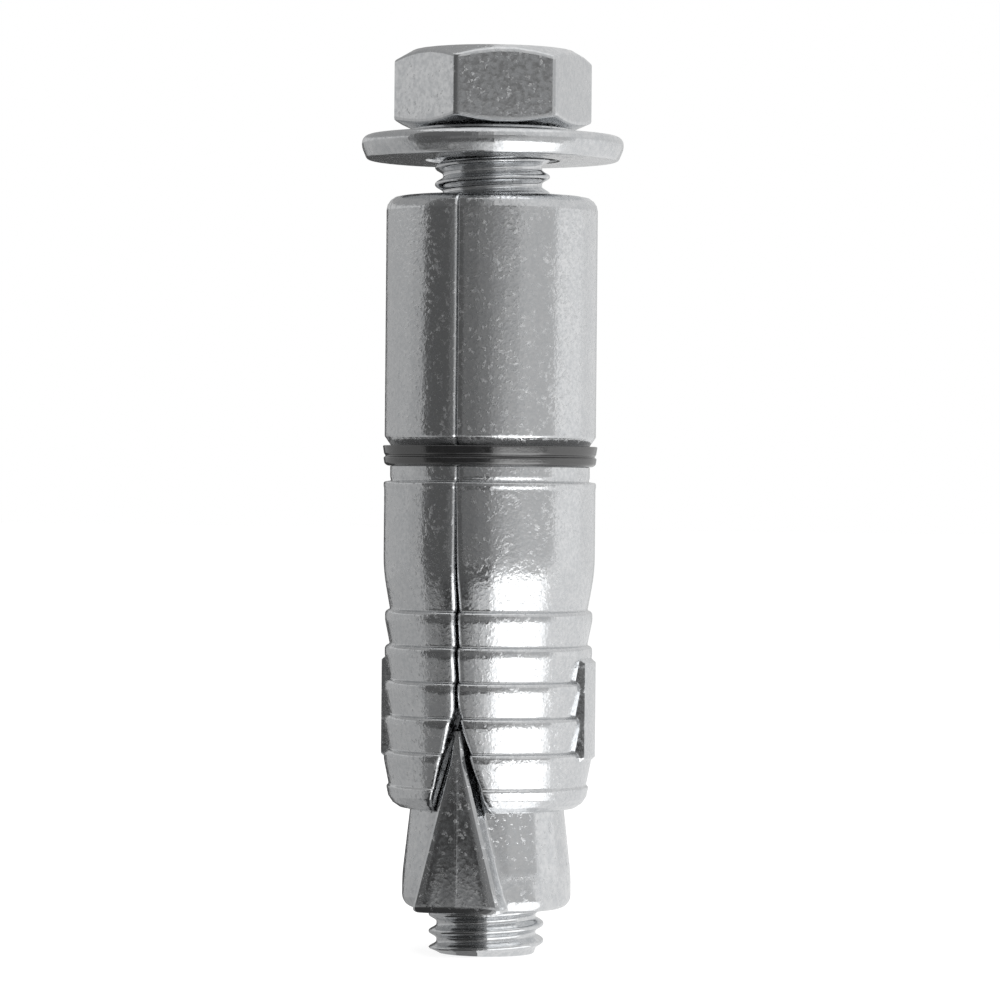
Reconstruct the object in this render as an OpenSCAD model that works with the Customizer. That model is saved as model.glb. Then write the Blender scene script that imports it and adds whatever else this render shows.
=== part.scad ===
// Expansion anchor for masonry. A hex bolt draws a cone nut into a split shield of two half shells,
// which spread in the drilled hole. It stands upright on the bolt tip with the head on top, and its
// two parting slits face front and back. Sizes are in millimetres.

/* [Bolt] */
// Outside diameter of the thread
thread_d = 11.86; // [11.7:0.02:11.98]
// Thread pitch, the rise of the nut in one turn
thread_pitch = 1.75; // [1.5:0.25:2]
// Length of bolt that stands out below the nut
tip_out = 4.7; // [3:0.1:8]
// Diameter of the flat on the tip
tip_flat_d = 9.8; // [8.8:0.1:10.4]
// Height of the cone that leads into the thread
tip_cone_h = 1; // [0.6:0.1:1.6]
// Width of the head across its flats
head_af = 18; // [17:0.5:19]
// Height of the six-sided part of the head
head_h = 7.7; // [6.5:0.1:8.5]
// Diameter of the flat circle on top of the head
head_flat_d = 16.4; // [15:0.1:16.9]
// Slope of the cut that rounds off the top corners
head_cut_angle = 30; // [20:1:35]
// Turn of the head about the bolt axis
head_turn = -3.5; // [-30:0.5:30]
// Diameter of the round bearing face under the head
bearing_d = 16.6; // [15.6:0.1:16.8]
// Height of the round bearing face
bearing_h = 0.7; // [0.4:0.05:0.9]

/* [Washer] */
// Outside diameter of the washer
washer_d = 27; // [25:0.1:30]
// Diameter of the washer hole
washer_hole_d = 13.5; // [13:0.1:14]
// Thickness of the washer
washer_t = 2.5; // [2:0.1:3]
// Radius of the rounded outer edges
washer_round = 0.6; // [0.3:0.05:0.9]
// Free play between the washer and the head
washer_play = 0.4; // [0.2:0.05:0.5]
// Free length of thread between the washer and the shield
fixture_gap = 3.8; // [2:0.1:20]

/* [Shield] */
// Outside diameter of the closed shield
shell_d = 21.8; // [21.6:0.02:21.9]
// Length of the shield
shell_len = 63; // [60:0.2:70]
// Diameter of the clearance bore round the bolt
bore_d = 15; // [14.8:0.05:15.4]
// Radius of the rounded top edge
top_round = 1.4; // [0.4:0.1:1.6]
// Diameter of the bottom lip
lip_d = 20.9; // [20.6:0.05:21.2]
// Height of the bottom lip
lip_h = 2.3; // [2.2:0.05:2.6]
// Radius of the rounded bottom edge
lip_round = 2; // [1.4:0.1:2.2]

/* [Ribs] */
// Distance from one rib to the next
rib_pitch = 3.6; // [3.4:0.05:3.8]
// Number of ribs above the lip
rib_count = 5; // [3:1:6]
// Diameter over the rib crests
crest_d = 21.4; // [21:0.05:21.6]
// Diameter at the foot of the ribs
valley_d = 20.4; // [20:0.05:20.6]
// Height of the straight crest
crest_h = 0.9; // [0.6:0.05:1.1]
// Height of the slope below each crest
slope_h = 1.7; // [1.4:0.05:1.9]
// Height of the steep step above each crest
step_h = 0.4; // [0.2:0.05:0.5]
// Height of the long slope from the top rib to the plain wall
run_in_h = 3.6; // [2.5:0.1:4.5]

/* [Fins] */
// Diameter over the fins that bite into the hole wall
fin_d = 22.06; // [21.96:0.02:22.12]
// Width of each fin as an angle
fin_arc = 20; // [14:1:24]
// Height of the lower end of the fins above the lip edge
fin_start = 4.6; // [4:0.1:6]
// Length of the fins
fin_len = 11.5; // [9:0.1:13]
// Length of the sloped end of a fin
fin_ramp = 0.9; // [0.5:0.1:1.5]

/* [Ring groove] */
// Distance of the ring below the top of the shield
ring_drop = 26.7; // [25:0.1:28]
// Thickness of the rubber ring
ring_t = 2.1; // [1.9:0.05:2.3]
// Outside diameter of the rubber ring
ring_d = 22.16; // [22:0.02:22.2]
// Diameter at the bottom of the wide shallow groove
groove_d = 20.6; // [20.4:0.05:20.9]
// Width of the shallow groove above the ring centre
groove_up = 1.8; // [1.5:0.1:2.2]
// Width of the shallow groove below the ring centre
groove_down = 2.3; // [1.5:0.1:3]

/* [Slits] */
// Opening of the slit at the top of the shield
slit_top = 0.1; // [0.06:0.02:0.3]
// Opening of the slit where the notch begins
slit_low = 0.4; // [0.34:0.02:0.6]
// Height of the notch above the lip edge
notch_h = 10.4; // [10:0.1:12]
// Width of the notch at the lip edge
notch_w = 6.2; // [5.8:0.1:7]

/* [Cone nut] */
// Height of the nut
nut_h = 20.3; // [19.6:0.1:20.6]
// Diameter of the foot of the nut
nut_d = 17.4; // [17.2:0.05:17.5]
// Height of the straight foot below the cone
foot_h = 3.3; // [2.6:0.1:3.6]
// Radius of the rounded bottom edge of the nut
foot_round = 1.3; // [0.8:0.1:1.6]
// Slope of the cone to its axis
cone_angle = 6.3; // [5.8:0.1:6.5]
// Height of the foot of the nut below the lip edge
nut_drop = 10.2; // [9.6:0.1:11]
// Number of turns of the bolt for a full spread
draw_turns = 3; // [1:1:3]
// Width of a key at its foot
key_w = 8.6; // [8:0.1:8.7]
// Slope of each side of a key to the nut axis
key_angle = 12.9; // [12:0.1:13.5]
// Width of the blunt top of a key
key_top_w = 0.5; // [0.3:0.05:0.6]
// Distance of the flat key face from the nut axis
key_reach = 9.95; // [9.5:0.05:9.98]

/* [Fits] */
// Radial clearance between the nut and the thread
thread_fit = 0.07; // [0.04:0.01:0.12]
// Radial clearance between the cone and its seat
seat_fit = 0.05; // [0.03:0.01:0.1]
// Radial clearance between the ring and its seat
ring_fit = 0.08; // [0.05:0.01:0.15]

/* [Hidden] */
$fn = 96;

// length by which a cut runs past the face it opens
over = 1;

// levels from the tip up
nut_z = tip_out;
nut_top_z = nut_z + nut_h;
cone_z = nut_z + foot_h;
lip_z = nut_z + nut_drop;
shell_top_z = lip_z + shell_len;
washer_z = shell_top_z + fixture_gap;
bearing_z = washer_z + washer_t + washer_play;
head_z = bearing_z + bearing_h;
head_top_z = head_z + head_h;
ring_z = shell_top_z - ring_drop;
rib_z = lip_z + lip_h;
rib_top_z = rib_z + rib_count * rib_pitch;
run_in_z = rib_top_z + rib_pitch - crest_h - slope_h;
notch_z = lip_z + notch_h;

// radii
thread_r = thread_d / 2;
shell_r = shell_d / 2;
bore_r = bore_d / 2;
lip_r = lip_d / 2;
crest_r = crest_d / 2;
valley_r = valley_d / 2;
fin_r = fin_d / 2;
groove_r = groove_d / 2;
ring_r = ring_t / 2;
ring_path_r = ring_d / 2 - ring_r;
nut_r = nut_d / 2;
nut_bore_r = thread_r + thread_fit;
washer_r = washer_d / 2;
washer_hole_r = washer_hole_d / 2;
head_corner_r = head_af / 2 / cos(30);
head_flat_r = head_flat_d / 2;
head_cut_drop = (head_corner_r - head_flat_r) * tan(head_cut_angle);

// radius of the cone at a height
function cone_r(z) = nut_r - (z - cone_z) * tan(cone_angle);

// a half shell moves out by this much when the nut is drawn up, so its seat is cut off centre
spread = draw_turns * thread_pitch * tan(cone_angle);

// half width of a key at a height
function key_half(z) = key_w / 2 - (z - nut_z) * tan(key_angle);
key_top_z = nut_z + (key_w - key_top_w) / 2 / tan(key_angle);

steel = [0.76, 0.77, 0.78];
dark_steel = [0.66, 0.67, 0.69];
rubber = [0.06, 0.06, 0.065];

// what is left of a square corner outside a quarter circle, to be cut away
module corner_waste(r) {
  difference() {
    square(r + over);
    circle(r);
  }
}

// six-sided head with its top corners turned off
module head() {
  intersection() {
    translate([0, 0, head_z])
      rotate([0, 0, head_turn - 90])
        cylinder(h = head_h, r = head_corner_r, $fn = 6);
    rotate_extrude()
      polygon([
        [0, head_z - over],
        [head_corner_r + over, head_z - over],
        [head_corner_r + over, head_top_z - head_cut_drop - over * tan(head_cut_angle)],
        [head_flat_r, head_top_z],
        [0, head_top_z]
      ]);
  }
}

// turned tip, thread and bearing face in one outline, which runs up into the head
module shank() {
  rotate_extrude()
    polygon([
      [0, 0],
      [tip_flat_d / 2, 0],
      [thread_r, tip_cone_h],
      [thread_r, bearing_z],
      [bearing_d / 2, bearing_z],
      [bearing_d / 2, head_z + over],
      [0, head_z + over]
    ]);
}

// bolt threaded up to its head
module hex_bolt() {
  color(steel) {
    head();
    shank();
  }
}

// flat ring with rounded outer edges
module washer() {
  color(steel)
    translate([0, 0, washer_z])
      rotate_extrude()
        difference() {
          translate([washer_hole_r, 0])
            square([washer_r - washer_hole_r, washer_t]);
          translate([washer_r - washer_round, washer_t - washer_round])
            corner_waste(washer_round);
          translate([washer_r - washer_round, washer_round])
            mirror([0, 1])
              corner_waste(washer_round);
        }
}

// outline of one rib from its foot up to its crest, counted from the lip
function rib_points(i) = [
  [valley_r, rib_z + (i - 1) * rib_pitch + step_h],
  [valley_r, rib_z + i * rib_pitch - crest_h - slope_h],
  [crest_r, rib_z + i * rib_pitch - crest_h],
  [crest_r, rib_z + i * rib_pitch]
];

// outline of a half shell, solid to its axis, with lip, ribs, plain wall and ring groove
module shell_outline() {
  difference() {
    polygon(concat(
      [[0, shell_top_z], [0, lip_z], [lip_r, lip_z], [lip_r, rib_z]],
      [for (i = [1:rib_count]) each rib_points(i)],
      [
        [valley_r, rib_top_z + step_h],
        [valley_r, run_in_z],
        [shell_r, run_in_z + run_in_h],
        [shell_r, ring_z - groove_down],
        [groove_r, ring_z - groove_down],
        [groove_r, ring_z + groove_up],
        [shell_r, ring_z + groove_up],
        [shell_r, shell_top_z]
      ]
    ));
    translate([shell_r - top_round, shell_top_z - top_round])
      corner_waste(top_round);
    translate([lip_r - lip_round, lip_z + lip_round])
      mirror([0, 1])
        corner_waste(lip_round);
    translate([ring_path_r, ring_z])
      circle(ring_r + ring_fit);
  }
}

// raised fin at the middle of a half shell, sloped at both ends
module fin() {
  rotate([0, 0, -fin_arc / 2])
    rotate_extrude(angle = fin_arc)
      polygon([
        [valley_r - over, lip_z + fin_start],
        [valley_r, lip_z + fin_start],
        [fin_r, lip_z + fin_start + fin_ramp],
        [fin_r, lip_z + fin_start + fin_len - fin_ramp],
        [valley_r, lip_z + fin_start + fin_len],
        [valley_r - over, lip_z + fin_start + fin_len]
      ]);
}

// all that lies beyond the parting face of the right half, with the notch that takes a key
module parting_waste() {
  rotate([90, 0, 0])
    linear_extrude(height = 2 * (fin_r + over), center = true)
      polygon([
        [-fin_r - over, shell_top_z + over],
        [slit_top / 2, shell_top_z + over],
        [slit_top / 2, shell_top_z],
        [slit_low / 2, notch_z],
        [notch_w / 2, lip_z],
        [notch_w / 2, lip_z - over],
        [-fin_r - over, lip_z - over]
      ]);
}

// seat for the cone, off centre so that it still fits when the halves have spread
module seat_waste() {
  translate([-spread, 0, lip_z - over])
    cylinder(
      h = nut_top_z - lip_z + over,
      r1 = cone_r(lip_z - over) + spread + seat_fit,
      r2 = cone_r(nut_top_z) + spread + seat_fit
    );
}

// one half of the shield, on the right of the slit
module half_shell() {
  difference() {
    union() {
      rotate_extrude()
        shell_outline();
      fin();
    }
    translate([0, 0, lip_z - over])
      cylinder(h = shell_len + 2 * over, r = bore_r);
    seat_waste();
    parting_waste();
  }
}

module right_shell() {
  color(dark_steel)
    half_shell();
}

module left_shell() {
  color(dark_steel)
    rotate([0, 0, 180])
      half_shell();
}

// rubber ring that holds the halves together
module retaining_ring() {
  color(rubber)
    translate([0, 0, ring_z])
      rotate_extrude()
        translate([ring_path_r, 0])
          circle(ring_r);
}

// wedge across the nut whose two ends run in the notches of the shield
module keys() {
  rotate([90, 0, 0])
    linear_extrude(height = 2 * key_reach, center = true)
      polygon([
        [-key_half(nut_z + foot_round / 2), nut_z + foot_round / 2],
        [-key_half(nut_z) + foot_round / 2, nut_z],
        [key_half(nut_z) - foot_round / 2, nut_z],
        [key_half(nut_z + foot_round / 2), nut_z + foot_round / 2],
        [key_top_w / 2, key_top_z],
        [-key_top_w / 2, key_top_z]
      ]);
}

// cone with a straight rounded foot
module cone_body() {
  rotate_extrude()
    difference() {
      polygon([
        [0, nut_z],
        [nut_r, nut_z],
        [nut_r, cone_z],
        [cone_r(nut_top_z), nut_top_z],
        [0, nut_top_z]
      ]);
      translate([nut_r - foot_round, nut_z + foot_round])
        mirror([0, 1])
          corner_waste(foot_round);
    }
}

module cone_nut() {
  color(steel)
    difference() {
      union() {
        cone_body();
        keys();
      }
      translate([0, 0, nut_z - over])
        cylinder(h = nut_h + 2 * over, r = nut_bore_r);
    }
}

hex_bolt();
washer();
left_shell();
right_shell();
retaining_ring();
cone_nut();
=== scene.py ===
"""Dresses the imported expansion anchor: bolt, washer, split shield, rubber ring and cone nut in bright zinc plate."""

import logging
import math
from dataclasses import dataclass, field
from enum import Enum

import bmesh
import bpy
from bpy.types import Material, Mesh, Node, NodeSocket, NodeTree, Object
from mathutils import Matrix, Vector


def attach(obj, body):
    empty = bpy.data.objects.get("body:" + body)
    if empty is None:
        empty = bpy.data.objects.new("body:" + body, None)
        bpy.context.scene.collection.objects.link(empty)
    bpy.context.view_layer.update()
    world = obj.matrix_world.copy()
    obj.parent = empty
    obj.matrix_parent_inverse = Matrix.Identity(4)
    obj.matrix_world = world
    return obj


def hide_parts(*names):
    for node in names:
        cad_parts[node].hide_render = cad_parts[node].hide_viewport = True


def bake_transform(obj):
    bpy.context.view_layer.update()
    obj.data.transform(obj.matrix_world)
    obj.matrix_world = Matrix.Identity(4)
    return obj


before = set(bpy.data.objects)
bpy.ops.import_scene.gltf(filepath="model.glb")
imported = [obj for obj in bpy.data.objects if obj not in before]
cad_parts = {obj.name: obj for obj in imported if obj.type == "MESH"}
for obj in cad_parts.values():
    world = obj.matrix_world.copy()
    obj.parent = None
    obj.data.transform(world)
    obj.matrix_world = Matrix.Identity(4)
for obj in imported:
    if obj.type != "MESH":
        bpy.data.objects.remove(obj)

LOG = logging.getLogger("anchor")
MM = 0.001
Flat = tuple[float, float]
Point = tuple[float, float, float]
# Two values in a plane, and the length of each side that the rounding takes.
Corner = tuple[float, float, float]


class Side(Enum):
    """The two halves of the shield, with the sign that turns a point of the right half to each."""

    RIGHT = 1.0
    LEFT = -1.0

    @property
    def body(self) -> str:
        """Name of the half shell's body and CAD node."""
        return f"{self.name.lower()}_shell"

    def place(self, x: float, y: float, z: float) -> Point:
        """A point of the right half, turned to this half."""
        return (self.value * x, self.value * y, z)


def linear(colour: str) -> tuple[float, float, float, float]:
    """Turns an sRGB hex colour to linear light.

    Args:
        colour: Six hex digits, with or without a leading #.

    Returns:
        Red, green, blue and an alpha of one.
    """
    digits = colour.lstrip("#")
    parts = [int(digits[i : i + 2], 16) / 255 for i in (0, 2, 4)]
    light = [c / 12.92 if c <= 0.04045 else ((c + 0.055) / 1.055) ** 2.4 for c in parts]
    return (light[0], light[1], light[2], 1.0)


def add_node(tree: NodeTree, kind: str, settings: dict | None = None, **links: object) -> Node:
    """Adds one node to a tree with its settings and links.

    Args:
        tree: The node tree.
        kind: Blender's name for the node.
        settings: Attributes set on the node itself.
        **links: Input name, or i and its index, to an output socket or a value.

    Returns:
        The new node.
    """
    node = tree.nodes.new(kind)
    for key, value in (settings or {}).items():
        setattr(node, key, value)
    for key, value in links.items():
        numbered = key[0] == "i" and key[1:].isdigit()
        socket = node.inputs[int(key[1:]) if numbered else key.replace("_", " ")]
        if isinstance(value, NodeSocket):
            tree.links.new(value, socket)
        else:
            socket.default_value = value
    return node


def new_material(name: str) -> tuple[Material, NodeTree]:
    """Makes a node material with nothing in it, and gives it with its tree."""
    material = bpy.data.materials.new(name)
    material.use_nodes = True
    material.node_tree.nodes.clear()
    return material, material.node_tree


def add_noise(tree: NodeTree, place: NodeSocket, size_mm: float, detail: float, rough: float = 0.5) -> NodeSocket:
    """Adds a noise pattern with spots of about the given size, and gives its value."""
    noise = add_node(tree, "ShaderNodeTexNoise", Vector=place, Scale=1 / (size_mm * MM), Detail=detail, Roughness=rough)
    return noise.outputs["Fac"]


def add_ramp(tree: NodeTree, value: NodeSocket, low: object, high: object, to_low: object = 0.0,
             to_high: object = 1.0) -> NodeSocket:
    """Adds a node that maps low to to_low and high to to_high, and gives its value."""
    ramp = add_node(tree, "ShaderNodeMapRange", Value=value, From_Min=low, From_Max=high, To_Min=to_low, To_Max=to_high)
    return ramp.outputs["Result"]


def add_sum(tree: NodeTree, operation: str, *values: object) -> NodeSocket:
    """Adds a math node with its values in order, and gives its value."""
    inputs = {f"i{i}": value for i, value in enumerate(values)}
    return add_node(tree, "ShaderNodeMath", {"operation": operation}, **inputs).outputs[0]


def add_tone(tree: NodeTree, share: NodeSocket, first: str, second: str) -> NodeSocket:
    """Adds a mix of two sRGB hex colours, and gives its colour."""
    mix = add_node(tree, "ShaderNodeMix", {"data_type": "RGBA"}, i0=share, i6=linear(first), i7=linear(second))
    return mix.outputs[2]


def soften(corners: list[Corner], steps: int = 3) -> list[Flat]:
    """Rounds the corners of an open outline.

    Args:
        corners: Points as first value, second value and length of each side that the rounding takes.
        steps: Number of segments in each rounding.

    Returns:
        The rounded outline.
    """
    outline: list[Flat] = []
    for i, (a, b, size) in enumerate(corners):
        here = Vector((a, b))
        if size <= 0 or i in (0, len(corners) - 1):
            outline.append((a, b))
            continue
        back = Vector(corners[i - 1][:2]) - here
        ahead = Vector(corners[i + 1][:2]) - here
        free_back = max(back.length - corners[i - 1][2], 0.3 * back.length)
        free_ahead = max(ahead.length - corners[i + 1][2], 0.3 * ahead.length)
        cut = min(size, 0.97 * free_back, 0.97 * free_ahead)
        half = back.angle(ahead) / 2
        middle = here + (back.normalized() + ahead.normalized()).normalized() * (cut / math.cos(half))
        first = here + back.normalized() * cut - middle
        last = here + ahead.normalized() * cut - middle
        turn = first.angle_signed(last)
        for k in range(steps + 1):
            angle = -turn * k / steps
            point = middle + Matrix.Rotation(angle, 2) @ first
            outline.append((point.x, point.y))
    return outline


def guarded(outline: list[Flat], near: float = 0.15) -> list[Flat]:
    """Adds a point near each end of the long straights, so that shading stays flat between the roundings.

    Args:
        outline: The rounded outline.
        near: Distance of the added points from the ends.

    Returns:
        The outline with the added points.
    """
    full = [outline[0]]
    for start, end in zip(outline, outline[1:]):
        span = Vector(end) - Vector(start)
        if span.length > 4 * near:
            step = span.normalized() * near
            full += [tuple(Vector(start) + step), tuple(Vector(end) - step)]
        full.append(end)
    return full


@dataclass
class Skin:
    """A mesh being drawn in millimetres, loop by loop."""

    points: list[Point] = field(default_factory=list)
    faces: list[tuple[int, ...]] = field(default_factory=list)

    def loop(self, points: list[Point]) -> list[int]:
        """Adds points and gives their numbers."""
        start = len(self.points)
        self.points.extend(points)
        return list(range(start, len(self.points)))

    def strip(self, low: list[int], high: list[int], closed: bool = True) -> None:
        """Joins two loops of the same length with four-sided faces.

        Args:
            low: Numbers of the first loop.
            high: Numbers of the second loop.
            closed: Whether the last point joins the first.
        """
        count = len(low)
        for i in range(count if closed else count - 1):
            j = (i + 1) % count
            self.faces.append((low[i], low[j], high[j], high[i]))

    def stack(self, loops: list[list[Point]], closed: bool = True) -> list[list[int]]:
        """Adds loops and joins each to the next.

        Args:
            loops: Loops of the same length.
            closed: Whether each loop is closed.

        Returns:
            The numbers of each loop.
        """
        numbers = [self.loop(points) for points in loops]
        for low, high in zip(numbers, numbers[1:]):
            self.strip(low, high, closed)
        return numbers

    def by_angle(self, ring: list[int]) -> list[tuple[float, int]]:
        """Angle and number of each point of a ring, once round and back to the first."""
        turns = sorted((math.atan2(self.points[i][1], self.points[i][0]), i) for i in ring)
        return turns + [(turns[0][0] + 2 * math.pi, turns[0][1])]

    def join(self, outer: list[int], inner: list[int]) -> None:
        """Joins two rings round the axis that differ in length with triangles.

        Args:
            outer: Numbers of the first ring.
            inner: Numbers of the second ring.
        """
        rings = (self.by_angle(outer), self.by_angle(inner))
        at = [0, 0]
        for _ in range(len(outer) + len(inner)):
            ahead = [ring[at[k] + 1][0] if at[k] + 1 < len(ring) else math.inf for k, ring in enumerate(rings)]
            k = 0 if ahead[0] <= ahead[1] else 1
            self.faces.append((rings[0][at[0]][1], rings[1][at[1]][1], rings[k][at[k] + 1][1]))
            at[k] += 1

    def cap(self, loop: list[int]) -> None:
        """Closes a loop with one face."""
        self.faces.append(tuple(loop))

    def take(self, mesh: Mesh) -> None:
        """Adds a mesh that is already in metres."""
        start = len(self.points)
        self.points.extend(tuple(v.co / MM) for v in mesh.vertices)
        self.faces.extend(tuple(start + i for i in p.vertices) for p in mesh.polygons)

    def finish(self, name: str, material: Material, sharp_deg: float = 38.0) -> Object:
        """Makes a closed, smooth object with its faces pointing out.

        Args:
            name: Name of the piece.
            material: Its finish.
            sharp_deg: Edges that bend more than this stay sharp.

        Returns:
            The piece, linked to the scene.
        """
        mesh = bpy.data.meshes.new(name)
        mesh.from_pydata([tuple(c * MM for c in p) for p in self.points], [], self.faces)
        form = bmesh.new()
        form.from_mesh(mesh)
        bmesh.ops.remove_doubles(form, verts=form.verts, dist=0.002 * MM)
        bmesh.ops.dissolve_degenerate(form, edges=form.edges, dist=0.0005 * MM)
        bmesh.ops.recalc_face_normals(form, faces=form.faces)
        form.to_mesh(mesh)
        form.free()
        mesh.polygons.foreach_set("use_smooth", [True] * len(mesh.polygons))
        mesh.set_sharp_from_angle(angle=math.radians(sharp_deg))
        mesh.materials.append(material)
        piece = bpy.data.objects.new(name, mesh)
        bpy.context.scene.collection.objects.link(piece)
        return piece


def circle(radius: float, z: float, count: int, turn: float = 0.0) -> list[Point]:
    """Points round the axis.

    Args:
        radius: Radius in millimetres.
        z: Height in millimetres.
        count: Number of points.
        turn: Angle of the first point.

    Returns:
        The points, anticlockwise from above.
    """
    angles = [turn + 2 * math.pi * i / count for i in range(count)]
    return [(radius * math.cos(a), radius * math.sin(a), z) for a in angles]


@dataclass(frozen=True)
class ZincPlate:
    """Bright zinc plate on steel: clear reflections, clouded in patches and flecked with small matt spots."""

    name: str
    colour: str = "#e2e3e4"
    shade: str = "#d3d5d7"
    roughness: float = 0.13
    polish: float = 0.04
    cloud: float = 0.15
    mottle_mm: float = 2.4
    mottle_weight: float = 0.6
    grain_mm: float = 0.5
    grain_depth_mm: float = 0.016
    fleck_mm: float = 0.45
    fleck_depth_mm: float = 0.009
    fleck_share: float = 0.5
    fleck_fade: float = 0.12
    fleck_from: float = 0.6
    fleck_full: float = 0.7
    fleck_roughness: float = 0.5

    def build(self) -> Material:
        """Makes the node material.

        Returns:
            The finish.
        """
        material, tree = new_material(self.name)
        place = add_node(tree, "ShaderNodeTexCoord").outputs["Object"]
        mottle = add_noise(tree, place, self.mottle_mm, 4.0, 0.65)
        grain = add_noise(tree, place, self.grain_mm, 1.0)
        # Crystals of the plate are finer than a pixel, so the flecks are drawn coarser, as clusters that catch the eye.
        speck = add_noise(tree, place, self.fleck_mm, 2.0, 0.6)
        ragged = add_ramp(tree, speck, self.fleck_from, self.fleck_full)
        # Flecks stand in loose groups, where the mottle is high.
        groups = add_ramp(tree, mottle, self.fleck_share, self.fleck_share + self.fleck_fade)
        flecks = add_sum(tree, "MULTIPLY", ragged, groups)
        both = add_sum(tree, "MULTIPLY_ADD", mottle, self.mottle_weight, grain)
        tone = add_tone(tree, add_ramp(tree, both, 0.6, 1.0), self.shade, self.colour)
        clouds = add_ramp(tree, both, 0.64, 0.98, self.roughness + self.cloud, self.roughness - self.polish)
        gloss = add_ramp(tree, flecks, 0.0, 1.0, clouds, self.fleck_roughness)
        fine = add_node(tree, "ShaderNodeBump", Height=grain, Distance=self.grain_depth_mm * MM).outputs["Normal"]
        coarse = add_node(tree, "ShaderNodeBump", Height=flecks, Distance=self.fleck_depth_mm * MM, Normal=fine)
        metal = add_node(tree, "ShaderNodeBsdfPrincipled", Base_Color=tone, Metallic=1.0, Roughness=gloss,
                         Normal=coarse.outputs["Normal"])
        add_node(tree, "ShaderNodeOutputMaterial", Surface=metal.outputs["BSDF"])
        return material


@dataclass(frozen=True)
class BlackRubber:
    """Moulded nitrile rubber: deep black with a soft sheen and a faint dusty bloom."""

    name: str = "nitrile_rubber_moulded"
    colour: str = "#121213"
    bloom: str = "#19191a"
    roughness: float = 0.13
    sheen: float = 0.04
    dull: float = 0.08
    bloom_mm: float = 1.1
    grain_mm: float = 0.2
    grain_depth_mm: float = 0.006

    def build(self) -> Material:
        """Makes the node material.

        Returns:
            The finish.
        """
        material, tree = new_material(self.name)
        place = add_node(tree, "ShaderNodeTexCoord").outputs["Object"]
        dust = add_noise(tree, place, self.bloom_mm, 5.0)
        grain = add_noise(tree, place, self.grain_mm, 2.0)
        tone = add_tone(tree, add_ramp(tree, dust, 0.45, 0.75), self.colour, self.bloom)
        gloss = add_ramp(tree, dust, 0.3, 0.7, self.roughness - self.sheen, self.roughness + self.dull)
        bump = add_node(tree, "ShaderNodeBump", Height=grain, Distance=self.grain_depth_mm * MM)
        skin = add_node(tree, "ShaderNodeBsdfPrincipled", Base_Color=tone, Roughness=gloss, IOR=1.8,
                        Specular_IOR_Level=0.85, Normal=bump.outputs["Normal"])
        add_node(tree, "ShaderNodeOutputMaterial", Surface=skin.outputs["BSDF"])
        return material


@dataclass(frozen=True)
class Thread:
    """One metric thread as a surface round the axis, in millimetres."""

    crest: float
    root: float
    start: float
    end: float
    low: float
    low_run: float
    high: float
    high_run: float
    pitch: float = 1.75
    inside: bool = False


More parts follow.
